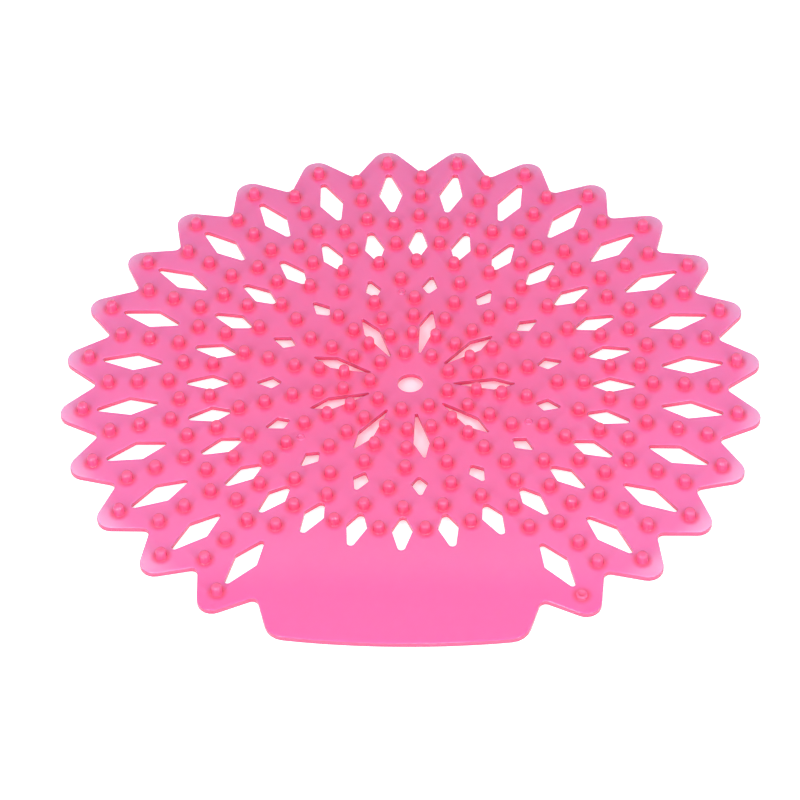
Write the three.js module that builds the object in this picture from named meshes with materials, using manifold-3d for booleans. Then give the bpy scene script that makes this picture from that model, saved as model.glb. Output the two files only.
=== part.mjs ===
// Urinal deodorizer screen: one soft moulding, a thin crowned disc with a toothed rim and a plain
// grip tab. Rings of kite and diamond openings run round the hub, and short blunt nubs stand
// between them on the upper face. Millimetres, +Z up, the tab towards -Y.

import * as THREE from 'three';
import { mergeVertices } from 'three/addons/utils/BufferGeometryUtils.js';
import Module from 'manifold-3d';

const wasm = await Module();
wasm.setup();

// Disc. The middle is flat, and the rest falls away to the rim.
const PLATE_THICKNESS = 1.5;
const FLAT_RADIUS = 40;
const CROWN_DROP = 2.05;

// Pattern round the disc. The full circle has this many teeth, and the tab takes the place of some.
// The tab's margin is the share of a tooth step past its roots in which no pattern stands.
const TOOTH_COUNT = 28;
const TAB_TOOTH_COUNT = 4;
const TAB_MARGIN_STEPS = 0.25;

// Openings, from the hub outwards. A web is the material between a ring and the one inside it,
// and a shoulder is the way from an opening's inner point to its widest place.
const HUB_HOLE_RADIUS = 3.4;

const KITE_COUNT = 9;
const KITE_WEB = 6.5;
const KITE_LENGTH = 18.55;
const KITE_SHOULDER = 12.25;
const KITE_WIDTH = 4.4;
const KITE_END_RADIUS = 0.35;

const SMALL_COUNT = 15;
const SMALL_WEB = 5.6;
const SMALL_LENGTH = 7.65;
const SMALL_SHOULDER = 2.85;
const SMALL_WIDTH = 4.5;
const SMALL_END_RADIUS = 0.6;

const MIDDLE_WEB = 5.4;
const MIDDLE_LENGTH = 15.2;
const MIDDLE_SHOULDER = 5.9;
const MIDDLE_WIDTH = 5.6;
const MIDDLE_END_RADIUS = 1.0;

const LARGE_WEB = 3.45;
const LARGE_LENGTH = 19.75;
const LARGE_SHOULDER = 8.85;
const LARGE_WIDTH = 6.65;
const LARGE_END_RADIUS = 0.8;

// Teeth. The point is where a tooth's flanks would meet without their rounding.
const TOOTH_WEB = 10.95;
const TOOTH_DEPTH = 12.9;
const TOOTH_TIP_RADIUS = 4.1;
const TOOTH_ROOT_RADIUS = 1.7;

// Tab, from the two tooth roots beside it
const TAB_LENGTH = 12.6;
const TAB_SIDE_LEAN = 3.5;
const TAB_EDGE_BULGE = 2.45;
const TAB_CORNER_RADIUS = 6.0;

// Nubs. Each gap is the clear way between a nub's foot and the sharp end of what it stands beside.
// A gap below zero takes up room that the rounding of that end leaves free.
const NUB_RADIUS = 1.5;
const NUB_HEIGHT = 2.8;
const NUB_CHAMFER = 0.55;
const NUB_ROOT = 1.0;
const KITE_NUB_START = 7.3;
const KITE_NUB_FIRST_STEP = 7.3;
const KITE_NUB_PITCH = 6.8;
const SMALL_NUB_OFFSET = 2.25;
const MIDDLE_NUB_OFFSET = 0.4;
const LARGE_NUB_OFFSET = -1.8;
const GAP_INSIDE_MIDDLE = -0.5;
const GAP_INSIDE_LARGE = 2.8;
const GAP_OUTSIDE_MIDDLE = 0.7;
const GAP_OUTSIDE_LARGE = 0.3;
const GAP_INSIDE_ROOT = 1.3;

// Facets
const HUB_HOLE_SIDES = 12;
const NUB_SIDES = 6;
const TIP_STEPS = 3;
const ROOT_STEPS = 2;
const END_STEPS = 1;
const TAB_EDGE_STEPS = 6;
const CUT_MARGIN = 1;
const LEVEL_TOLERANCE = 1e-4;
const ANGLE_TOLERANCE = 1e-3;
const MOST_PASSES = 200;

const FULL_TURN = 2 * Math.PI;
const TAB_DIRECTION = -Math.PI / 2;
const TOOTH_STEP = FULL_TURN / TOOTH_COUNT;

// Each ring of openings starts where the ring inside it ends, plus its web
const kites = openingRing(HUB_HOLE_RADIUS + KITE_WEB, KITE_LENGTH, KITE_SHOULDER, KITE_WIDTH);
const smalls = openingRing(kites.end + SMALL_WEB, SMALL_LENGTH, SMALL_SHOULDER, SMALL_WIDTH);
const middles = openingRing(smalls.end + MIDDLE_WEB, MIDDLE_LENGTH, MIDDLE_SHOULDER, MIDDLE_WIDTH);
const larges = openingRing(middles.end + LARGE_WEB, LARGE_LENGTH, LARGE_SHOULDER, LARGE_WIDTH);
const toothPoint = larges.end + TOOTH_WEB;
const toothRoot = toothPoint - TOOTH_DEPTH;

function openingRing(start, length, shoulder, width) {
  return { start, widest: start + shoulder, end: start + length, halfWidth: width / 2 };
}

function polar(radius, angle) {
  return new THREE.Vector2(radius * Math.cos(angle), radius * Math.sin(angle));
}

function corner(point, radius = 0, steps = 0) {
  return { point, radius, steps };
}

// Points of a closed outline with its corners rounded. A radius is limited by the sides it joins.
function roundedOutline(corners) {
  return corners.flatMap(({ point, radius, steps }, index) => {
    if (radius === 0) {
      return [point];
    }
    const toBefore = corners.at(index - 1).point.clone().sub(point);
    const toAfter = corners[(index + 1) % corners.length].point.clone().sub(point);
    const halfAngle = toBefore.angleTo(toAfter) / 2;
    const room = Math.min(toBefore.length(), toAfter.length()) / 2;
    const setback = Math.min(radius / Math.tan(halfAngle), room);
    const bendRadius = setback * Math.tan(halfAngle);
    const inward = toBefore.clone().normalize().add(toAfter.clone().normalize()).normalize();
    const centre = point.clone().addScaledVector(inward, bendRadius / Math.sin(halfAngle));
    const first = point.clone().addScaledVector(toBefore.normalize(), setback).sub(centre);
    const last = point.clone().addScaledVector(toAfter.normalize(), setback).sub(centre);
    const turn = Math.atan2(first.cross(last), first.dot(last));
    return Array.from({ length: steps + 1 }, (_, step) => (
      first.clone().rotateAround(new THREE.Vector2(), (turn * step) / steps).add(centre)
    ));
  });
}

// Places round a ring, in radians. The tab clears every place that its own teeth would have had.
function ringAngles(count, firstStep, clearedByTab = false) {
  const step = FULL_TURN / count;
  const angles = Array.from({ length: count }, (_, index) => (index + firstStep) * step);
  const tabHalfSpan = (TAB_TOOTH_COUNT / 2 + TAB_MARGIN_STEPS) * TOOTH_STEP;
  const aside = (angle) => Math.abs(THREE.MathUtils.euclideanModulo(
    angle - TAB_DIRECTION + Math.PI,
    FULL_TURN,
  ) - Math.PI);
  return clearedByTab ? angles.filter((angle) => aside(angle) > tabHalfSpan) : angles;
}

function rimOutline() {
  const firstRoot = TAB_DIRECTION + (TAB_TOOTH_COUNT / 2) * TOOTH_STEP;
  const teeth = TOOTH_COUNT - TAB_TOOTH_COUNT;
  const corners = [];
  for (let tooth = 0; tooth <= teeth; tooth += 1) {
    const rootAngle = firstRoot + tooth * TOOTH_STEP;
    corners.push(corner(polar(toothRoot, rootAngle), TOOTH_ROOT_RADIUS, ROOT_STEPS));
    if (tooth < teeth) {
      const tipAngle = rootAngle + TOOTH_STEP / 2;
      corners.push(corner(polar(toothPoint, tipAngle), TOOTH_TIP_RADIUS, TIP_STEPS));
    }
  }
  return roundedOutline([...corners, ...tabCorners(polar(toothRoot, firstRoot))]);
}

// The tab's free edge, from -X to +X: two rounded corners with a shallow bow between them
function tabCorners(root) {
  const halfWidth = root.x - TAB_SIDE_LEAN;
  const depth = root.y - TAB_LENGTH;
  const edge = [];
  for (let step = 0; step <= TAB_EDGE_STEPS; step += 1) {
    const across = (2 * step) / TAB_EDGE_STEPS - 1;
    const bow = TAB_EDGE_BULGE * (1 - across ** 2);
    edge.push(corner(new THREE.Vector2(across * halfWidth, depth - bow)));
  }
  for (const end of [edge[0], edge[TAB_EDGE_STEPS]]) {
    end.radius = TAB_CORNER_RADIUS;
    end.steps = TIP_STEPS;
  }
  return edge;
}

// A kite or diamond that points along the radius, blunt at both ends and sharp at its shoulders
function openingOutline(ring, endRadius, angle) {
  const corners = [
    corner(new THREE.Vector2(ring.start, 0), endRadius, END_STEPS),
    corner(new THREE.Vector2(ring.widest, -ring.halfWidth)),
    corner(new THREE.Vector2(ring.end, 0), endRadius, END_STEPS),
    corner(new THREE.Vector2(ring.widest, ring.halfWidth)),
  ];
  const hub = new THREE.Vector2();
  return roundedOutline(corners).map((point) => point.rotateAround(hub, angle));
}

function prism(outline, bottom, height) {
  const geometry = new THREE.ExtrudeGeometry(new THREE.Shape(outline), {
    depth: height,
    bevelEnabled: false,
  });
  return solidOf(geometry.translate(0, 0, bottom));
}

function cutter(outline) {
  return prism(outline, -PLATE_THICKNESS - CUT_MARGIN, PLATE_THICKNESS + 2 * CUT_MARGIN);
}

// A blunt peg, chamfered at its top and at the end that is rooted in the plate
function nub(radius, angle) {
  const section = ringAngles(NUB_SIDES, 0).map((side) => polar(NUB_RADIUS, side));
  const geometry = new THREE.ExtrudeGeometry(new THREE.Shape(section), {
    depth: NUB_ROOT + NUB_HEIGHT - 2 * NUB_CHAMFER,
    bevelSegments: 1,
    bevelThickness: NUB_CHAMFER,
    bevelSize: NUB_CHAMFER,
    bevelOffset: -NUB_CHAMFER,
  });
  const place = polar(radius, angle);
  return solidOf(geometry.rotateZ(angle).translate(place.x, place.y, NUB_CHAMFER - NUB_ROOT));
}

function solidOf(geometry) {
  geometry.deleteAttribute('uv');
  geometry.deleteAttribute('normal');
  const merged = mergeVertices(geometry);
  const index = merged.index.array;
  const triangles = [];
  for (let i = 0; i < index.length; i += 3) {
    const [a, b, c] = index.slice(i, i + 3);
    if (a !== b && b !== c && c !== a) {
      triangles.push(a, b, c);
    }
  }
  return new wasm.Manifold(new wasm.Mesh({
    numProp: 3,
    vertProperties: new Float32Array(merged.getAttribute('position').array),
    triVerts: new Uint32Array(triangles),
  }));
}

function geometryOf(solid) {
  const mesh = solid.getMesh();
  const geometry = new THREE.BufferGeometry();
  geometry.setAttribute('position', new THREE.BufferAttribute(mesh.vertProperties, 3));
  geometry.setIndex(new THREE.BufferAttribute(mesh.triVerts, 1));
  return geometry;
}

// Flips edges inside the level faces until none of their triangles could be better shaped, so
// that the faces stay smooth when they are crowned. No vertex moves and none is added.
function evenFacets(geometry) {
  const position = geometry.getAttribute('position');
  const index = geometry.index.array;
  const points = Array.from({ length: position.count }, (_, i) => (
    new THREE.Vector3().fromBufferAttribute(position, i)
  ));
  const angleAt = (tip, a, b) => (
    points[a].clone().sub(points[tip]).angleTo(points[b].clone().sub(points[tip]))
  );
  const level = (...corners) => corners.every((i) => (
    Math.abs(points[i].z - points[corners[0]].z) < LEVEL_TOLERANCE
  ));
  let flips = 1;
  for (let pass = 0; pass < MOST_PASSES && flips > 0; pass += 1) {
    flips = 0;
    const startOf = new Map();
    for (let i = 0; i < index.length; i += 1) {
      startOf.set(`${index[i]},${index[nextCorner(i)]}`, i);
    }
    const changed = new Set();
    for (const [key, here] of startOf) {
      const [a, b] = key.split(',').map(Number);
      const there = startOf.get(`${b},${a}`);
      const triangles = [Math.floor(here / 3), Math.floor(there / 3)];
      if (a > b || triangles.some((triangle) => changed.has(triangle))) {
        continue;
      }
      const c = index[nextCorner(nextCorner(here))];
      const d = index[nextCorner(nextCorner(there))];
      const spread = level(a, b, c, d) ? angleAt(c, a, b) + angleAt(d, a, b) : 0;
      if (spread > Math.PI + ANGLE_TOLERANCE) {
        index.set([a, d, c], 3 * triangles[0]);
        index.set([d, b, c], 3 * triangles[1]);
        triangles.forEach((triangle) => changed.add(triangle));
        flips += 1;
      }
    }
  }
  return geometry;
}

function nextCorner(i) {
  return i % 3 === 2 ? i - 2 : i + 1;
}

// Lowers everything beyond the flat middle along a parabola that ends at the tooth points
function crown(geometry) {
  const position = geometry.getAttribute('position');
  for (let i = 0; i < position.count; i += 1) {
    const radius = Math.hypot(position.getX(i), position.getY(i));
    const beyond = Math.max(0, radius - FLAT_RADIUS) / (toothPoint - FLAT_RADIUS);
    position.setZ(i, position.getZ(i) - CROWN_DROP * beyond ** 2);
  }
  geometry.computeVertexNormals();
  return geometry;
}

function openings() {
  const hubHole = ringAngles(HUB_HOLE_SIDES, 0).map((angle) => polar(HUB_HOLE_RADIUS, angle));
  const rings = [
    [kites, KITE_END_RADIUS, ringAngles(KITE_COUNT, 0)],
    [smalls, SMALL_END_RADIUS, ringAngles(SMALL_COUNT, 0.5)],
    [middles, MIDDLE_END_RADIUS, ringAngles(TOOTH_COUNT, 0)],
    [larges, LARGE_END_RADIUS, ringAngles(TOOTH_COUNT, 0.5, true)],
  ];
  return [
    hubHole,
    ...rings.flatMap(([ring, endRadius, angles]) => (
      angles.map((angle) => openingOutline(ring, endRadius, angle))
    )),
  ];
}

function nubs() {
  const inLineWithTeeth = ringAngles(TOOTH_COUNT, 0.5, true);
  const inLineWithRoots = ringAngles(TOOTH_COUNT, 0, true);
  const besideKites = ringAngles(2 * KITE_COUNT, 0.5);
  const aroundHub = HUB_HOLE_RADIUS + KITE_NUB_START;
  const nearKiteStart = aroundHub + KITE_NUB_FIRST_STEP;
  const rings = [
    [aroundHub, ringAngles(KITE_COUNT, 0.5)],
    [nearKiteStart, besideKites],
    [nearKiteStart + KITE_NUB_PITCH, besideKites],
    [nearKiteStart + 2 * KITE_NUB_PITCH, besideKites],
    [smalls.widest + SMALL_NUB_OFFSET, ringAngles(SMALL_COUNT, 0)],
    [middles.start - GAP_INSIDE_MIDDLE - NUB_RADIUS, ringAngles(TOOTH_COUNT, 0)],
    [middles.widest + MIDDLE_NUB_OFFSET, ringAngles(TOOTH_COUNT, 0.5)],
    [larges.start - GAP_INSIDE_LARGE - NUB_RADIUS, inLineWithTeeth],
    [middles.end + GAP_OUTSIDE_MIDDLE + NUB_RADIUS, inLineWithRoots],
    [larges.widest + LARGE_NUB_OFFSET, inLineWithRoots],
    [toothRoot - GAP_INSIDE_ROOT - NUB_RADIUS, inLineWithRoots],
    [larges.end + GAP_OUTSIDE_LARGE + NUB_RADIUS, inLineWithTeeth],
  ];
  return rings.flatMap(([radius, angles]) => angles.map((angle) => nub(radius, angle)));
}

function screenGeometry() {
  let solid = prism(rimOutline(), -PLATE_THICKNESS, PLATE_THICKNESS);
  for (const outline of openings()) {
    solid = solid.subtract(cutter(outline));
  }
  for (const peg of nubs()) {
    solid = solid.add(peg);
  }
  return crown(evenFacets(geometryOf(solid)));
}

const softPink = new THREE.MeshStandardMaterial({
  name: 'soft_pink',
  color: 0xff6fa8,
  roughness: 0.42,
  metalness: 0,
});

// The origin is the middle of the outer box, on the surface that the rim rests on
const screen = new THREE.Mesh(screenGeometry(), softPink);
screen.name = 'screen';
screen.geometry.computeBoundingBox();
const box = screen.geometry.boundingBox;
const middle = box.getCenter(new THREE.Vector3());
screen.position.set(-middle.x, -middle.y, -box.min.z);

const deodorizerScreen = new THREE.Group();
deodorizerScreen.add(screen);

export default deodorizerScreen;
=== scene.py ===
"""A soft pink urinal deodorizer screen: its fine moulded surface, finish, lamps and camera.

Sizes are in millimetres until the mesh is made, round a hub at the origin with the plate's flat
top at level 0. Angles are in radians unless a name says degrees.
"""

import math

import bpy
import numpy as np
from mathutils import Matrix, Vector
from mathutils.geometry import delaunay_2d_cdt


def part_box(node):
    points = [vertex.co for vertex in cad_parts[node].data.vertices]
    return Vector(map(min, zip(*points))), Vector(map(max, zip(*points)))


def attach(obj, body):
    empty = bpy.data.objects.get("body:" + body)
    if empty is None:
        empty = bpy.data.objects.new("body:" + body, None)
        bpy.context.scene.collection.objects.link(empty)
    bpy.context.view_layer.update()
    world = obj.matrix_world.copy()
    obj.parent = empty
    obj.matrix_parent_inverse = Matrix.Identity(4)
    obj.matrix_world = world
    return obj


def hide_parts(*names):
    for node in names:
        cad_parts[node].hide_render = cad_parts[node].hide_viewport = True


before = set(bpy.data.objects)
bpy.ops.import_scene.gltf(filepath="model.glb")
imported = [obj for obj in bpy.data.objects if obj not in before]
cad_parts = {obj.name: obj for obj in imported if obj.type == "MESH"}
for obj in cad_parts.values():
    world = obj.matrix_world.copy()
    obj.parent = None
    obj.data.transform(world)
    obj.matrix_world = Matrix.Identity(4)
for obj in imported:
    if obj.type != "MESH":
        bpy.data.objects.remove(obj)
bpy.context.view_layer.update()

MM = 0.001
FULL_TURN = 2 * math.pi

# Disc, as in the solid: the middle is flat, and the rest falls away to the rim
PLATE_THICKNESS = 1.5
FLAT_RADIUS = 40
CROWN_DROP = 2.05
TOOTH_COUNT = 28
TAB_TOOTH_COUNT = 4
TAB_MARGIN_STEPS = 0.25
TAB_DIRECTION = -math.pi / 2
TOOTH_STEP = FULL_TURN / TOOTH_COUNT

# Openings: the web inside each ring, then length, way to the shoulder, width, and corner radii
HUB_HOLE_RADIUS = 3.4
KITE_COUNT = 9
KITES = dict(web=6.5, length=18.55, shoulder=12.25, width=4.4, end=0.35, bend=0.7)
SMALL_COUNT = 15
SMALLS = dict(web=5.6, length=7.65, shoulder=2.85, width=4.5, end=0.6, bend=0.5)
MIDDLES = dict(web=5.4, length=15.2, shoulder=5.9, width=5.6, end=1.0, bend=0.7)
LARGES = dict(web=3.45, length=19.75, shoulder=8.85, width=6.65, end=0.8, bend=0.8)

# Rim
TOOTH_WEB = 10.95
TOOTH_DEPTH = 12.9
TOOTH_TIP_RADIUS = 4.1
TOOTH_ROOT_RADIUS = 1.7
TAB_LENGTH = 12.6
TAB_SIDE_LEAN = 3.5
TAB_EDGE_BULGE = 2.45
TAB_CORNER_RADIUS = 6.0

# Nubs
NUB_RADIUS = 1.5
NUB_HEIGHT = 2.8
KITE_NUB_START = 7.3
KITE_NUB_FIRST_STEP = 7.3
KITE_NUB_PITCH = 6.8
SMALL_NUB_OFFSET = 2.25
MIDDLE_NUB_OFFSET = 0.4
LARGE_NUB_OFFSET = -1.8
GAP_INSIDE_MIDDLE = -0.5
GAP_INSIDE_LARGE = 2.8
GAP_OUTSIDE_MIDDLE = 0.7
GAP_OUTSIDE_LARGE = 0.3
GAP_INSIDE_ROOT = 1.3

# Fine shape that the solid leaves out
OPENING_EDGE_RADIUS = 0.22
RIM_EDGE_RADIUS = 0.38
UNDER_EDGE_RADIUS = 0.12
NUB_FOOT_RADIUS = 0.25
NUB_DOME_HEIGHT = 1.05
NUB_DOME_POWER = 2.7
NUB_TAPER = 0.1
FOOT_CLEARANCE = 0.08
SHORT_NUB_DIRECTION = math.radians(-57.9)
SHORT_NUB_HEIGHT = 1.0
SHORT_NUB_DISH = 0.3
SHORT_NUB_LIP_SHARE = 0.55
SHORT_NUB_ROUNDNESS = 0.6
SHORT_NUB_TOLERANCE = 0.02
MARK_RADIUS = 34.7
MARK_DIRECTIONS = tuple(math.radians(degrees) for degrees in (96, -24, -144))
MARK_RING_RADIUS = 0.85
MARK_RING_WIDTH = 0.7
MARK_OUTER_RADIUS = MARK_RING_RADIUS + MARK_RING_WIDTH / 2
MARK_RING_HEIGHT = 0.3

# Steps of the fine mesh
NUB_SIDES = 18
FOOT_STEPS = 3
DOME_STEPS = 5
EDGE_STEPS = 3
UNDER_STEPS = 2
ARC_STEP = math.radians(18)
SIDE_STEP = 1.5
HUB_SIDES = 40
MARK_SIDES = 24
MARK_RINGS = 8
HALO_STEPS = (0.75, 1.55)
HALO_SIDES = 14
TOP_GRID = 1.7
UNDER_GRID = 3.2
GRID_MARGIN = 0.55
CDT_EPSILON = 1e-5

# Colours of the plastic, linear, with painted light and shade: the lighter rim, tips and outer
# nubs stand for light from the floor, the darker nub feet, nubs low down, edges and walls for
# shade
CENTRE_PINK = (1.0, 0.148, 0.38)
RIM_FLOOR_LIT_PINK = (1.0, 0.18, 0.455)
NUB_FOOT_SHADE_PINK = (1.0, 0.095, 0.24)
NUB_LOW_SHADE = (1.0, 0.085, 0.21)
NUB_TOP_LIT = (1.0, 0.115, 0.275)
WALL_SHADE_PINK = (1.0, 0.1, 0.245)
EDGE_SHADE_PINK = (0.6, 0.11, 0.27)
TAB_PINK = (1.0, 0.138, 0.415)
TIP_FLOOR_LIT_PINK = (1.0, 0.42, 0.68)
OUTER_NUB_FLOOR_LIT_PINK = (1.0, 0.125, 0.31)

# Finish, and the reach of the painted light. Ways from the hub and the tab's Y are in metres, and
# noise scales are per metre.
ROUGHNESS_BASE = 0.13
ROUGHNESS_SPREAD = 0.08
REFRACTION = 1.5
SCATTER_WEIGHT = 0.6
SCATTER_RADIUS = (1.0, 0.3, 0.45)
SCATTER_SCALE = 0.003
MOTTLE_SCALE = 70.0
MOTTLE_DRIFT = 0.5
GRAIN_SCALE = 1400.0
GRAIN_STRENGTH = 0.12
GRAIN_HEIGHT = 2e-5
OUTWARD_LIGHT_FADE = (0.012, 0.09)
TIP_LIGHT_FADE = (0.086, 0.095)
TAB_FADE = (-0.062, -0.076)
OUTER_NUB_LIGHT_FADE = (0.06, 0.1)

# Fades across the height and round the nubs, most of them for painted shade, in millimetres
NUB_FOOT_SHADE_FADE = (3.3, 1.6)
NUB_SHADE_FADE = (0.5, NUB_HEIGHT)
FOOT_FADE = (0.02, 0.5)
EDGE_SHADE_FADE = (-0.03, -0.2)
WALL_SHADE_FADE = (-0.2, -0.5)

# World and floor. The floor's own glow is what the camera sees as white; under the hub it is
# painted dimmer and pink, as shade and as light that has come through the plastic.
AMBIENT_STRENGTH = 0.405
FLOOR_COLOUR = (0.86, 0.86, 0.86, 1)
FLOOR_LIFT = 0.75
HUB_SHADED_LIFT = 0.72
PASSED_LIGHT = (1.0, 0.3, 0.42)
FLOOR_HALF_SIZE = 3.0
HUB_SHADE_FADE = (0.02, 0.06)
PASSED_LIGHT_FADE = (0.024, 0.055)

# Camera, from the photograph's perspective
CAMERA_AZIMUTH = 4.07
CAMERA_ELEVATION = 45.46
CAMERA_ROLL = -2.71
CAMERA_DISTANCE = 1.1359
CAMERA_LENS = 192.13
CAMERA_CLIP = (0.05, 20)
SENSOR_WIDTH = 36.0
AIM_RIGHT = -2.73
AIM_UP = -4.62

# Lamps: name, azimuth and elevation in degrees, distance, width and height in metres, watts
LAMPS = (
    ("overhead", -15, 75, 1.2, 0.9, 0.9, 1.6),
    ("softbox_left", -34, 34, 1.0, 0.16, 1.1, 5.0),
    ("softbox_front", 2, 28, 1.0, 0.08, 0.8, 1.6),
    ("softbox_right", 40, 34, 1.0, 0.16, 1.1, 5.0),
)


def opening_ring(start, sizes):
    """Radii of a ring of openings that starts at the given radius."""
    return dict(
        sizes,
        start=start,
        widest=start + sizes["shoulder"],
        finish=start + sizes["length"],
        half=sizes["width"] / 2,
    )


kites = opening_ring(HUB_HOLE_RADIUS + KITES["web"], KITES)
smalls = opening_ring(kites["finish"] + SMALLS["web"], SMALLS)
middles = opening_ring(smalls["finish"] + MIDDLES["web"], MIDDLES)
larges = opening_ring(middles["finish"] + LARGES["web"], LARGES)
tooth_point = larges["finish"] + TOOTH_WEB
tooth_root = tooth_point - TOOTH_DEPTH


def polar(radius, angle):
    return np.array([radius * math.cos(angle), radius * math.sin(angle)])


def turned(points, angle):
    """Plane vectors turned counter-clockwise about the hub."""
    cosine, sine = math.cos(angle), math.sin(angle)
    return np.asarray(points) @ np.array([[cosine, sine], [-sine, cosine]])


def ring_angles(count, first_step, cleared_by_tab=False):
    """Places round a ring. The tab clears every place that its own teeth would have had."""
    angles = (np.arange(count) + first_step) * FULL_TURN / count
    aside = np.abs((angles - TAB_DIRECTION + math.pi) % FULL_TURN - math.pi)
    tab_half_span = (TAB_TOOTH_COUNT / 2 + TAB_MARGIN_STEPS) * TOOTH_STEP
    return angles[aside > tab_half_span] if cleared_by_tab else angles


def right_of(direction):
    return np.array([direction[1], -direction[0]])


def rounded_loop(corners):
    """Points and outward normals of a closed outline that has the material on its left.

    A corner is a point and a radius. Straight sides are cut into even steps.
    """
    places = np.array([point for point, _ in corners])
    before = places - np.roll(places, 1, axis=0)
    lengths = np.linalg.norm(before, axis=1)
    headings = before / lengths[:, None]
    points, normals = [], []
    for index, (place, radius) in enumerate(corners):
        after = (index + 1) % len(corners)
        heading_in, heading_out = headings[index], headings[after]
        cross = heading_in[0] * heading_out[1] - heading_in[1] * heading_out[0]
        turn = math.atan2(cross, heading_in @ heading_out)
        room = min(lengths[index], lengths[after]) / 2
        setback = min(radius * math.tan(abs(turn) / 2), room)
        if setback > 0:
            side = math.copysign(setback / math.tan(abs(turn) / 2), turn)
            centre = place - heading_in * setback - side * right_of(heading_in)
            steps = max(2, math.ceil(abs(turn) / ARC_STEP))
            for step in range(steps + 1):
                normal = turned(right_of(heading_in), turn * step / steps)
                points.append(centre + side * normal)
                normals.append(normal)
        else:
            normal = right_of(heading_in) + right_of(heading_out)
            points.append(place)
            normals.append(normal / np.linalg.norm(normal))
    return with_even_sides(np.array(points), np.array(normals))


def with_even_sides(points, normals):
    """The same loop with long straight sides cut into steps of about SIDE_STEP."""
    fine_points, fine_normals = [], []
    for index, point in enumerate(points):
        after = (index + 1) % len(points)
        steps = max(1, math.ceil(np.linalg.norm(points[after] - point) / SIDE_STEP))
        for step in range(steps):
            share = step / steps
            normal = (1 - share) * normals[index] + share * normals[after]
            fine_points.append((1 - share) * point + share * points[after])
            fine_normals.append(normal / np.linalg.norm(normal))
    return np.array(fine_points), np.array(fine_normals)


def rim_loop():
    """Teeth round the rim, counter-clockwise, and then the tab's free edge."""
    first_root = TAB_DIRECTION + TAB_TOOTH_COUNT / 2 * TOOTH_STEP
    teeth = TOOTH_COUNT - TAB_TOOTH_COUNT
    corners = []
    for tooth in range(teeth + 1):
        root_angle = first_root + tooth * TOOTH_STEP
        corners.append((polar(tooth_root, root_angle), TOOTH_ROOT_RADIUS))
        if tooth < teeth:
            corners.append((polar(tooth_point, root_angle + TOOTH_STEP / 2), TOOTH_TIP_RADIUS))
    root = polar(tooth_root, first_root)
    half_width, depth = root[0] - TAB_SIDE_LEAN, root[1] - TAB_LENGTH
    across = np.linspace(-1, 1, 2 * round(half_width / SIDE_STEP) + 1)
    radii = np.where(np.abs(across) == 1, TAB_CORNER_RADIUS, 0)
    edge = np.stack([across * half_width, depth - TAB_EDGE_BULGE * (1 - across**2)], axis=1)
    inside_corners = np.abs(across) * half_width < half_width - TAB_CORNER_RADIUS
    keep = inside_corners | (radii > 0)
    corners.extend(zip(edge[keep], radii[keep]))
    return rounded_loop(corners)


def opening_loop(ring, angle):
    """A kite or diamond along the radius, clockwise, so that the material is on its left."""
    corners = [
        (np.array([ring["start"], 0]), ring["end"]),
        (np.array([ring["widest"], ring["half"]]), ring["bend"]),
        (np.array([ring["finish"], 0]), ring["end"]),
        (np.array([ring["widest"], -ring["half"]]), ring["bend"]),
    ]
    points, normals = rounded_loop(corners)
    return turned(points, angle), turned(normals, angle)


def circle_loop(centre, radius, sides, clockwise=False):
    angles = np.arange(sides) * FULL_TURN / sides * (-1 if clockwise else 1)
    outward = np.stack([np.cos(angles), np.sin(angles)], axis=1)
    return np.asarray(centre) + radius * outward, outward * (-1 if clockwise else 1)


def opening_loops():
    loops = [circle_loop((0, 0), HUB_HOLE_RADIUS, HUB_SIDES, clockwise=True)]
    for ring, angles in (
        (kites, ring_angles(KITE_COUNT, 0)),
        (smalls, ring_angles(SMALL_COUNT, 0.5)),
        (middles, ring_angles(TOOTH_COUNT, 0)),
        (larges, ring_angles(TOOTH_COUNT, 0.5, True)),
    ):
        loops.extend(opening_loop(ring, angle) for angle in angles)
    return loops


def nub_places():
    """Radius and angle of every nub."""
    in_line_with_teeth = ring_angles(TOOTH_COUNT, 0.5, True)
    in_line_with_roots = ring_angles(TOOTH_COUNT, 0, True)
    beside_kites = ring_angles(2 * KITE_COUNT, 0.5)
    around_hub = HUB_HOLE_RADIUS + KITE_NUB_START
    near_kite_start = around_hub + KITE_NUB_FIRST_STEP
    rings = [
        (around_hub, ring_angles(KITE_COUNT, 0.5)),
        (near_kite_start, beside_kites),
        (near_kite_start + KITE_NUB_PITCH, beside_kites),
        (near_kite_start + 2 * KITE_NUB_PITCH, beside_kites),
        (smalls["widest"] + SMALL_NUB_OFFSET, ring_angles(SMALL_COUNT, 0)),
        (middles["start"] - GAP_INSIDE_MIDDLE - NUB_RADIUS, ring_angles(TOOTH_COUNT, 0)),
        (middles["widest"] + MIDDLE_NUB_OFFSET, ring_angles(TOOTH_COUNT, 0.5)),
        (larges["start"] - GAP_INSIDE_LARGE - NUB_RADIUS, in_line_with_teeth),
        (middles["finish"] + GAP_OUTSIDE_MIDDLE + NUB_RADIUS, in_line_with_roots),
        (larges["widest"] + LARGE_NUB_OFFSET, in_line_with_roots),
        (tooth_root - GAP_INSIDE_ROOT - NUB_RADIUS, in_line_with_roots),
        (larges["finish"] + GAP_OUTSIDE_LARGE + NUB_RADIUS, in_line_with_teeth),
    ]
    return [(radius, angle) for radius, angles in rings for angle in angles]


def clearance_to(loops, centre):
    """Shortest way from a point to any of the loops."""
    shortest = math.inf
    for points, _ in loops:
        sides = np.roll(points, -1, axis=0) - points
        along = np.einsum("ij,ij->i", centre - points, sides) / np.einsum("ij,ij->i", sides, sides)
        nearest = points + np.clip(along, 0, 1)[:, None] * sides
        shortest = min(shortest, np.linalg.norm(nearest - centre, axis=1).min())
    return shortest


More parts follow.
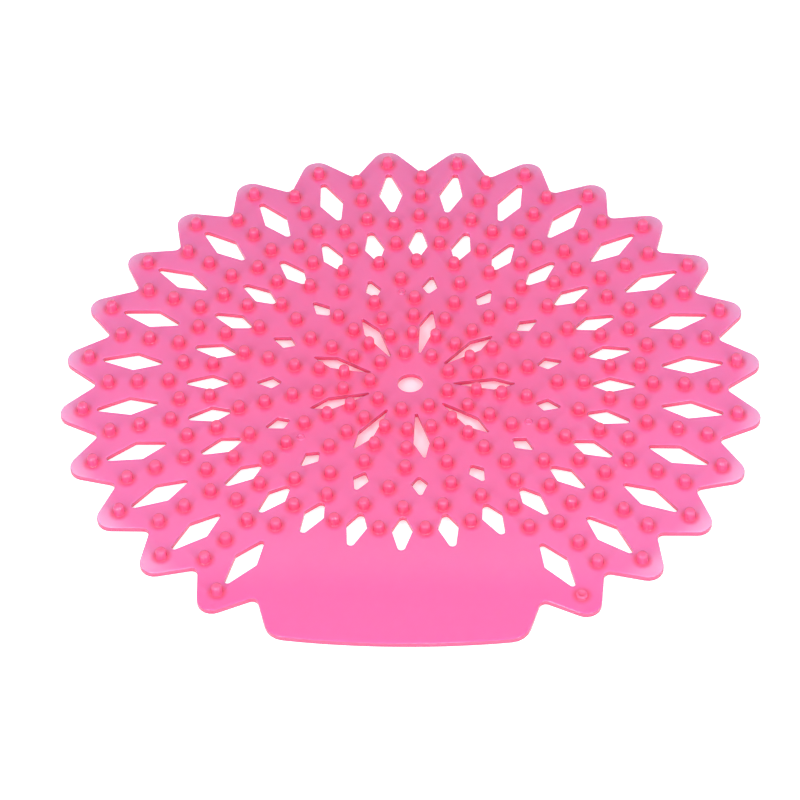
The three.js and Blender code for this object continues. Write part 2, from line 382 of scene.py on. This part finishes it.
def foot_rings(foot):
    """Radius, level and outward normal of each ring of a nub's hollow foot, from the plate up."""
    rings = []
    for step in range(FOOT_STEPS + 1):
        bend = math.pi / 2 * step / FOOT_STEPS
        radius = NUB_RADIUS + foot * (1 - math.sin(bend))
        rings.append((radius, foot * (1 - math.cos(bend)), math.sin(bend), math.cos(bend)))
    return rings


def nub_profile(foot):
    """The rings of a domed nub, up to just below its tip, and the level of the tip."""
    rings = foot_rings(foot)
    shoulder = NUB_HEIGHT - NUB_DOME_HEIGHT
    top_radius = NUB_RADIUS - NUB_TAPER
    for step in range(DOME_STEPS):
        bend = math.pi / 2 * step / DOME_STEPS
        across = math.cos(bend) ** (2 / NUB_DOME_POWER)
        up = math.sin(bend) ** (2 / NUB_DOME_POWER)
        slope_out = (across ** (NUB_DOME_POWER - 1)) / top_radius
        slope_up = (up ** (NUB_DOME_POWER - 1)) / NUB_DOME_HEIGHT
        size = math.hypot(slope_out, slope_up)
        rings.append((
            top_radius * across,
            shoulder + NUB_DOME_HEIGHT * up,
            slope_out / size,
            slope_up / size,
        ))
    return rings, NUB_HEIGHT


def short_nub_profile(foot):
    """The one nub that is moulded short, a low ring with a dished top."""
    rings = foot_rings(foot)
    lip_width = NUB_RADIUS * (1 - SHORT_NUB_LIP_SHARE)
    dish_level = SHORT_NUB_HEIGHT - SHORT_NUB_DISH
    rise = SHORT_NUB_HEIGHT - foot
    for step in range(1, DOME_STEPS + 1):
        bend = math.pi * step / (DOME_STEPS + 1)
        radius = NUB_RADIUS - lip_width * (1 - math.cos(bend)) / 2
        level = foot + rise * math.sin(bend) ** SHORT_NUB_ROUNDNESS
        level = max(level, dish_level) if bend > math.pi / 2 else level
        rings.append((radius, level, math.cos(bend) * 0.8, math.sin(bend) + 0.2))
    return rings, dish_level


def mark_profile():
    """A low round ridge left by the mould, with the plate's own level inside it."""
    rings = []
    for step in range(MARK_RINGS + 1):
        share = step / MARK_RINGS
        level = MARK_RING_HEIGHT * (1 - math.cos(FULL_TURN * share)) / 2
        slope = MARK_RING_HEIGHT * math.pi / MARK_RING_WIDTH * math.sin(FULL_TURN * share)
        size = math.hypot(slope, 1)
        rings.append((MARK_OUTER_RADIUS - MARK_RING_WIDTH * share, level, slope / size, 1 / size))
    return rings, 0.0


class Skin:
    """Vertices with their normals, and faces, of one closed surface."""

    def __init__(self):
        self.points, self.normals, self.faces = [], [], []

    def add(self, plane_points, level, outward, up):
        """Adds a row of vertices and returns their numbers."""
        first = len(self.points)
        for (x, y), (out_x, out_y) in zip(plane_points, outward):
            self.points.append((x, y, level))
            self.normals.append((out_x, out_y, up))
        return list(range(first, len(self.points)))

    def join(self, outer, inner):
        """Quads between two rows of a closed loop."""
        count = len(outer)
        for here in range(count):
            after = (here + 1) % count
            self.faces.append((outer[here], outer[after], inner[after], inner[here]))


def edge_rows(skin, points, normals, edge_radius):
    """The rounded top edge, the wall and the slightly eased lower edge of one loop."""
    rows = []
    for step in range(EDGE_STEPS + 1):
        rise = math.pi / 2 * (1 - step / EDGE_STEPS)
        inset = points - normals * edge_radius * (1 - math.cos(rise))
        level = -edge_radius * (1 - math.sin(rise))
        rows.append(skin.add(inset, level, normals * math.cos(rise), math.sin(rise)))
    for step in range(UNDER_STEPS + 1):
        fall = math.pi / 2 * step / UNDER_STEPS
        inset = points - normals * UNDER_EDGE_RADIUS * (1 - math.cos(fall))
        level = -PLATE_THICKNESS + UNDER_EDGE_RADIUS * (1 - math.sin(fall))
        rows.append(skin.add(inset, level, normals * math.cos(fall), -math.sin(fall)))
    for upper, lower in zip(rows, rows[1:]):
        skin.join(lower, upper)
    return rows[0], rows[-1]


def boss_rows(skin, centre, sides, profile):
    """A round boss on the upper face. Returns the row where it meets the plate."""
    rings, tip_level = profile
    rows = []
    for radius, level, out, up in rings:
        points, outward = circle_loop(centre, radius, sides)
        rows.append(skin.add(points, level, outward * out, up))
    for lower, upper in zip(rows, rows[1:]):
        skin.join(lower, upper)
    tip = skin.add([centre], tip_level, [(0, 0)], 1)[0]
    for here in range(sides):
        skin.faces.append((rows[-1][here], rows[-1][(here + 1) % sides], tip))
    return rows[0]


def fill_face(skin, rim_row, hole_rows, extra_points, level, up):
    """Triangles of a level face between its rim and its holes, through extra inner points."""
    rows = [rim_row, *hole_rows]
    numbers = [number for row in rows for number in row]
    plane = [Vector(skin.points[number][:2]) for number in numbers]
    outlines, first = [], 0
    for row in rows:
        outline = list(range(first, first + len(row)))
        corners = np.array([plane[number][:] for number in outline])
        ahead = np.roll(corners, -1, axis=0)
        area = np.sum(corners[:, 0] * ahead[:, 1] - corners[:, 1] * ahead[:, 0])
        outlines.append(outline if area > 0 else outline[::-1])
        first += len(row)
    plane.extend(Vector(point) for point in extra_points)
    made = delaunay_2d_cdt(plane, [], outlines, 0, CDT_EPSILON, True)
    made_points, made_faces, sources, face_sources = made[0], made[2], made[3], made[5]
    final = []
    for point, source in zip(made_points, sources):
        known = [number for number in source if number < len(numbers)]
        if known:
            final.append(numbers[known[0]])
        else:
            final.append(skin.add([point], level, [(0, 0)], up)[0])
    for face, source in zip(made_faces, face_sources):
        if list(source) == [0]:
            corners = [final[number] for number in face]
            skin.faces.append(tuple(corners if up > 0 else corners[::-1]))


def inner_points(loops, centres, spacing, halo_radii):
    """Points inside the plate: rings round the nubs and an even grid between them."""
    found = []
    for centre, rings in zip(centres, halo_radii):
        for radius in rings:
            found.append(circle_loop(centre, radius, HALO_SIDES)[0])
    columns = np.arange(-tooth_point, tooth_point, spacing)
    rows = np.arange(-tooth_point, tooth_point, spacing * math.sqrt(3) / 2)
    for number, row in enumerate(rows):
        shift = spacing / 2 if number % 2 else 0
        found.append(np.stack([columns + shift, np.full(len(columns), row)], axis=1))
    return spread_out(np.concatenate(found), loops)


def spread_out(points, loops):
    """Drops points that lie outside the material, near its edges or near an earlier point."""
    inside = np.zeros(len(points), dtype=int)
    near = np.zeros(len(points), dtype=bool)
    for outline, _ in loops:
        low, high = outline.min(axis=0) - GRID_MARGIN, outline.max(axis=0) + GRID_MARGIN
        chosen = np.flatnonzero(np.all((points > low) & (points < high), axis=1))
        here = points[chosen]
        ahead = np.roll(outline, -1, axis=0)
        sides = ahead - outline
        offset = here[:, None, :] - outline[None, :, :]
        along = np.einsum("ijk,jk->ij", offset, sides) / np.einsum("ij,ij->i", sides, sides)
        gap = offset - np.clip(along, 0, 1)[:, :, None] * sides[None, :, :]
        near[chosen] |= np.linalg.norm(gap, axis=2).min(axis=1) < GRID_MARGIN
        spans = (outline[None, :, 1] > here[:, None, 1]) != (ahead[None, :, 1] > here[:, None, 1])
        run = np.where(sides[:, 1] == 0, 1, sides[:, 1])
        meets = outline[None, :, 0] + (here[:, None, 1] - outline[None, :, 1]) * sides[:, 0] / run
        inside[chosen] += np.sum(spans & (here[:, None, 0] < meets), axis=1) % 2
    kept = points[(inside == 1) & ~near]
    cells, chosen = {}, []
    for point in kept:
        cell = tuple(np.floor(point / GRID_MARGIN).astype(int))
        around = [(cell[0] + x, cell[1] + y) for x in (-1, 0, 1) for y in (-1, 0, 1)]
        rivals = [cells[place] for place in around if place in cells]
        if all(np.linalg.norm(point - rival) > GRID_MARGIN for rival in rivals):
            cells[cell] = point
            chosen.append(point)
    return np.array(chosen)


def build_skin():
    """The whole moulding, still flat: points, normals, faces and each point's way to a nub."""
    skin = Skin()
    rim = rim_loop()
    openings = opening_loops()
    edges = [rim, *openings]
    rim_rows = edge_rows(skin, *rim, RIM_EDGE_RADIUS)
    opening_rows = [edge_rows(skin, *loop, OPENING_EDGE_RADIUS) for loop in openings]
    boss_loops, foot_rows, centres, halos = [], [], [], []
    for radius, angle in nub_places():
        centre = polar(radius, angle)
        room = clearance_to(edges, centre) - NUB_RADIUS - RIM_EDGE_RADIUS - FOOT_CLEARANCE
        foot = min(NUB_FOOT_RADIUS, max(room, FOOT_CLEARANCE))
        aside = abs(angle - SHORT_NUB_DIRECTION % FULL_TURN)
        is_short = radius > larges["finish"] and aside < SHORT_NUB_TOLERANCE
        profile = short_nub_profile(foot) if is_short else nub_profile(foot)
        foot_rows.append(boss_rows(skin, centre, NUB_SIDES, profile))
        boss_loops.append(circle_loop(centre, NUB_RADIUS + foot, NUB_SIDES))
        centres.append(centre)
        halos.append([NUB_RADIUS + foot + step for step in HALO_STEPS])
    for angle in MARK_DIRECTIONS:
        centre = polar(MARK_RADIUS, angle)
        foot_rows.append(boss_rows(skin, centre, MARK_SIDES, mark_profile()))
        boss_loops.append(circle_loop(centre, MARK_OUTER_RADIUS, MARK_SIDES))
    top_points = inner_points([*edges, *boss_loops], centres, TOP_GRID, halos)
    under_points = inner_points(edges, [], UNDER_GRID, [])
    top_holes = [row[0] for row in opening_rows] + foot_rows
    fill_face(skin, rim_rows[0], top_holes, top_points, 0.0, 1)
    under_holes = [row[1] for row in opening_rows]
    fill_face(skin, rim_rows[1], under_holes, under_points, -PLATE_THICKNESS, -1)
    points = np.array(skin.points)
    nub_distance = np.full(len(points), np.inf)
    for centre in centres:
        nub_distance = np.minimum(nub_distance, np.linalg.norm(points[:, :2] - centre, axis=1))
    return points, np.array(skin.normals, dtype=float), skin.faces, nub_distance


def crowned(points, normals):
    """Lowers everything beyond the flat middle and tilts the normals to suit."""
    radius = np.linalg.norm(points[:, :2], axis=1)
    beyond = np.maximum(0, radius - FLAT_RADIUS) / (tooth_point - FLAT_RADIUS)
    slope = 2 * CROWN_DROP * beyond / (tooth_point - FLAT_RADIUS)
    moved = points.copy()
    moved[:, 2] -= CROWN_DROP * beyond**2
    lean = slope / np.maximum(radius, 1)
    tilted = normals.copy()
    tilted[:, :2] += points[:, :2] * (lean * normals[:, 2])[:, None]
    return moved, tilted / np.linalg.norm(tilted, axis=1)[:, None]


def top_level():
    """Height of the plate's flat top, in metres."""
    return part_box("screen")[1].z - NUB_HEIGHT * MM


def make_screen(material):
    """The visual piece, placed by the box of the solid that it stands for."""
    points, normals, faces, nub_distance = build_skin()
    moved, tilted = crowned(points, normals)
    low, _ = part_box("screen")
    tab_reach = -moved[:, 1].min() * MM
    hub = np.array([0.0, low.y + tab_reach, top_level()])
    mesh = bpy.data.meshes.new("soft_screen")
    mesh.from_pydata((moved * MM + hub).tolist(), [], faces)
    mesh.polygons.foreach_set("use_smooth", [True] * len(mesh.polygons))
    for name, values in (("level", points[:, 2]), ("nub_distance", nub_distance)):
        mesh.attributes.new(name, "FLOAT", "POINT").data.foreach_set("value", values)
    mesh.normals_split_custom_set_from_vertices(tilted.tolist())
    mesh.materials.append(material)
    screen = bpy.data.objects.new("soft_screen", mesh)
    bpy.context.scene.collection.objects.link(screen)
    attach(screen, "root")
    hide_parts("screen")
    return Vector(hub)


class Nodes:
    """Short calls that add shader nodes and join them up."""

    def __init__(self, tree):
        self.tree = tree
        tree.nodes.clear()

    def add(self, kind, inputs=None, **settings):
        node = self.tree.nodes.new(kind)
        for name, value in settings.items():
            setattr(node, name, value)
        for key, value in (inputs or {}).items():
            if isinstance(value, bpy.types.NodeSocket):
                self.tree.links.new(value, node.inputs[key])
            else:
                node.inputs[key].default_value = value
        return node

    def math(self, operation, *values):
        return self.add("ShaderNodeMath", dict(enumerate(values)), operation=operation).outputs[0]

    def noise(self, place, scale, detail):
        inputs = {"Vector": place, "Scale": scale, "Detail": detail}
        return self.add("ShaderNodeTexNoise", inputs).outputs["Fac"]

    def ramp(self, value, start, finish):
        """0 at the start value, 1 at the finish value, smooth between them."""
        inputs = {"Value": value, "From Min": start, "From Max": finish}
        return self.add(
            "ShaderNodeMapRange", inputs, interpolation_type="SMOOTHSTEP"
        ).outputs["Result"]

    def mix(self, share, first, second):
        """A colour between two colours."""
        node = self.add("ShaderNodeMix", {"Factor": share}, data_type="RGBA")
        for name, value in (("A", first), ("B", second)):
            socket = next(s for s in node.inputs if s.name == name and s.type == "RGBA")
            if isinstance(value, bpy.types.NodeSocket):
                self.tree.links.new(value, socket)
            else:
                socket.default_value = (*value, 1)
        return next(s for s in node.outputs if s.type == "RGBA")


def soft_pink_material():
    """Dyed soft plastic, deeper in the nubs where the moulding is thick. Painted light makes it
    lighter towards the rim, at the tooth tips and on the outer nubs; painted shade darkens the
    nubs low down, round their feet, the edges, the walls and the underside.
    """
    material = bpy.data.materials.new("soft_pink")
    material.use_nodes = True
    nodes = Nodes(material.node_tree)
    place = nodes.add("ShaderNodeTexCoord").outputs["Object"]
    level = nodes.add("ShaderNodeAttribute", attribute_name="level").outputs["Fac"]
    distance = nodes.add("ShaderNodeAttribute", attribute_name="nub_distance").outputs["Fac"]
    middle = Vector((0, 0, top_level()))
    from_hub = nodes.add(
        "ShaderNodeVectorMath", {0: place, 1: middle}, operation="DISTANCE"
    ).outputs["Value"]
    mottle = nodes.noise(place, MOTTLE_SCALE, 3.0)
    # Painted light: the plate lighter towards the rim, for the floor's light coming through the
    # plastic; the mottle mixed in is random tone.
    outward = nodes.ramp(from_hub, *OUTWARD_LIGHT_FADE)
    drift = nodes.math("MULTIPLY_ADD", mottle, MOTTLE_DRIFT, -MOTTLE_DRIFT / 2)
    plate = nodes.mix(nodes.math("ADD", outward, drift), CENTRE_PINK, RIM_FLOOR_LIT_PINK)
    # Painted light: the tooth tips lighter still, lit from the floor around them.
    plate = nodes.mix(nodes.ramp(from_hub, *TIP_LIGHT_FADE), plate, TIP_FLOOR_LIT_PINK)
    forward = nodes.add("ShaderNodeSeparateXYZ", {0: place}).outputs["Y"]
    plate = nodes.mix(nodes.ramp(forward, *TAB_FADE), plate, TAB_PINK)
    # Painted shade round the foot of each nub.
    plate = nodes.mix(nodes.ramp(distance, *NUB_FOOT_SHADE_FADE), plate, NUB_FOOT_SHADE_PINK)
    # Painted shade and light: each nub darker low down and lighter at the top, as if lit from
    # above.
    nub = nodes.mix(nodes.ramp(level, *NUB_SHADE_FADE), NUB_LOW_SHADE, NUB_TOP_LIT)
    # Painted light: the outer nubs lighter, for the floor's light coming through them.
    nub = nodes.mix(nodes.ramp(from_hub, *OUTER_NUB_LIGHT_FADE), nub, OUTER_NUB_FLOOR_LIT_PINK)
    colour = nodes.mix(nodes.ramp(level, *FOOT_FADE), plate, nub)
    # Painted shade along the rounded top edges of the openings and the rim.
    colour = nodes.mix(nodes.ramp(level, *EDGE_SHADE_FADE), colour, EDGE_SHADE_PINK)
    # Painted shade: the walls and the underside darker.
    colour = nodes.mix(nodes.ramp(level, *WALL_SHADE_FADE), colour, WALL_SHADE_PINK)
    grain = nodes.noise(place, GRAIN_SCALE, 2.0)
    bump = nodes.add(
        "ShaderNodeBump",
        {"Height": grain, "Strength": GRAIN_STRENGTH, "Distance": GRAIN_HEIGHT},
    )
    roughness = nodes.math("MULTIPLY_ADD", mottle, ROUGHNESS_SPREAD, ROUGHNESS_BASE)
    shader = nodes.add("ShaderNodeBsdfPrincipled", {
        "Base Color": colour,
        "Roughness": roughness,
        "Normal": bump.outputs["Normal"],
        "Subsurface Weight": SCATTER_WEIGHT,
        "Subsurface Radius": SCATTER_RADIUS,
        "Subsurface Scale": SCATTER_SCALE,
        "IOR": REFRACTION,
    })
    nodes.add("ShaderNodeOutputMaterial", {"Surface": shader.outputs[0]})
    return material


def seen_directly(nodes):
    """1 for rays that show the background: the camera's, mirrored ones and those through glass."""
    path = nodes.add("ShaderNodeLightPath").outputs
    shown = nodes.math("MAXIMUM", path["Is Camera Ray"], path["Is Glossy Ray"])
    return nodes.math("MAXIMUM", shown, path["Is Transmission Ray"])


def make_floor():
    """A plain pale floor that shows white and keeps the shadow, with painted shade and painted
    pink light under the hub. It can't be seen from below.
    """
    material = bpy.data.materials.new("pale_floor")
    material.use_nodes = True
    nodes = Nodes(material.node_tree)
    matt = nodes.add("ShaderNodeBsdfDiffuse", {"Color": FLOOR_COLOUR}).outputs[0]
    place = nodes.add("ShaderNodeTexCoord").outputs["Object"]
    away = nodes.add("ShaderNodeVectorMath", {0: place}, operation="LENGTH").outputs["Value"]
    # Painted shade and light: under the hub the glow is dimmer and pink, for the plate's shade and
    # the light through the plastic.
    outward = nodes.ramp(away, *HUB_SHADE_FADE)
    lift = nodes.math("MULTIPLY_ADD", outward, FLOOR_LIFT - HUB_SHADED_LIFT, HUB_SHADED_LIFT)
    strength = nodes.math("MULTIPLY", seen_directly(nodes), lift)
    tint = nodes.mix(nodes.ramp(away, *PASSED_LIGHT_FADE), PASSED_LIGHT, (1, 1, 1))
    glow = nodes.add("ShaderNodeEmission", {"Color": tint, "Strength": strength}).outputs[0]
    lit = nodes.add("ShaderNodeAddShader", {0: matt, 1: glow}).outputs[0]
    clear = nodes.add("ShaderNodeBsdfTransparent").outputs[0]
    below = nodes.add("ShaderNodeNewGeometry").outputs["Backfacing"]
    shader = nodes.add("ShaderNodeMixShader", {0: below, 1: lit, 2: clear}).outputs[0]
    nodes.add("ShaderNodeOutputMaterial", {"Surface": shader})
    mesh = bpy.data.meshes.new("floor")
    half = FLOOR_HALF_SIZE
    corners = [(-half, -half, 0), (half, -half, 0), (half, half, 0), (-half, half, 0)]
    mesh.from_pydata(corners, [], [(0, 1, 2, 3)])
    mesh.materials.append(material)
    floor = bpy.data.objects.new("floor", mesh)
    bpy.context.scene.collection.objects.link(floor)


def make_world():
    world = bpy.data.worlds.new("white_studio")
    world.use_nodes = True
    nodes = Nodes(world.node_tree)
    ambient = nodes.add("ShaderNodeBackground", {"Strength": AMBIENT_STRENGTH}).outputs[0]
    white = nodes.add("ShaderNodeBackground", {"Color": (1, 1, 1, 1), "Strength": 1.0}).outputs[0]
    for background in (ambient, white):
        background.node.inputs["Color"].default_value = (1, 1, 1, 1)
    shader = nodes.add("ShaderNodeMixShader", {0: seen_directly(nodes), 1: ambient, 2: white})
    nodes.add("ShaderNodeOutputWorld", {"Surface": shader.outputs[0]})
    bpy.context.scene.world = world


def direction(azimuth_degrees, elevation_degrees):
    """Unit vector from the object towards a place. Azimuth 0 is in front, 90 on the right."""
    azimuth, elevation = math.radians(azimuth_degrees), math.radians(elevation_degrees)
    return Vector((
        math.sin(azimuth) * math.cos(elevation),
        -math.cos(azimuth) * math.cos(elevation),
        math.sin(elevation),
    ))


def add_lamp(name, azimuth, elevation, distance, width, height, power, target):
    """A soft rectangular lamp that faces the object, upright in its own plane."""
    data = bpy.data.lights.new(name, "AREA")
    data.shape = "RECTANGLE"
    data.size, data.size_y = width, height
    data.energy = power
    lamp = bpy.data.objects.new(name, data)
    away = direction(azimuth, elevation)
    lamp.location = target + away * distance
    lamp.rotation_mode = "QUATERNION"
    lamp.rotation_quaternion = away.to_track_quat("Z", "Y")
    bpy.context.scene.collection.objects.link(lamp)


def make_camera(hub):
    """Looks at a point just beside the hub, so that the framing needs no lens shift."""
    data = bpy.data.cameras.new("camera")
    data.lens = CAMERA_LENS
    data.sensor_width = SENSOR_WIDTH
    data.clip_start, data.clip_end = CAMERA_CLIP
    camera = bpy.data.objects.new("camera", data)
    bpy.context.scene.collection.objects.link(camera)
    back = direction(CAMERA_AZIMUTH, CAMERA_ELEVATION)
    roll = Matrix.Rotation(math.radians(CAMERA_ROLL), 3, "Z")
    upright = back.to_track_quat("Z", "Y").to_matrix() @ roll
    aim = hub + (upright.col[0] * AIM_RIGHT + upright.col[1] * AIM_UP) * MM
    camera.location = hub + back * CAMERA_DISTANCE
    towards = (camera.location - aim).normalized()
    camera.rotation_mode = "QUATERNION"
    turn = towards.to_track_quat("Z", "Y").to_matrix() @ roll
    camera.rotation_quaternion = turn.to_quaternion()
    bpy.context.scene.camera = camera


def main():
    hub = make_screen(soft_pink_material())
    make_floor()
    make_world()
    for name, *place, power in LAMPS:
        add_lamp(name, *place, power, hub)
    make_camera(hub)
    bpy.context.scene.view_settings.view_transform = "Standard"


main()
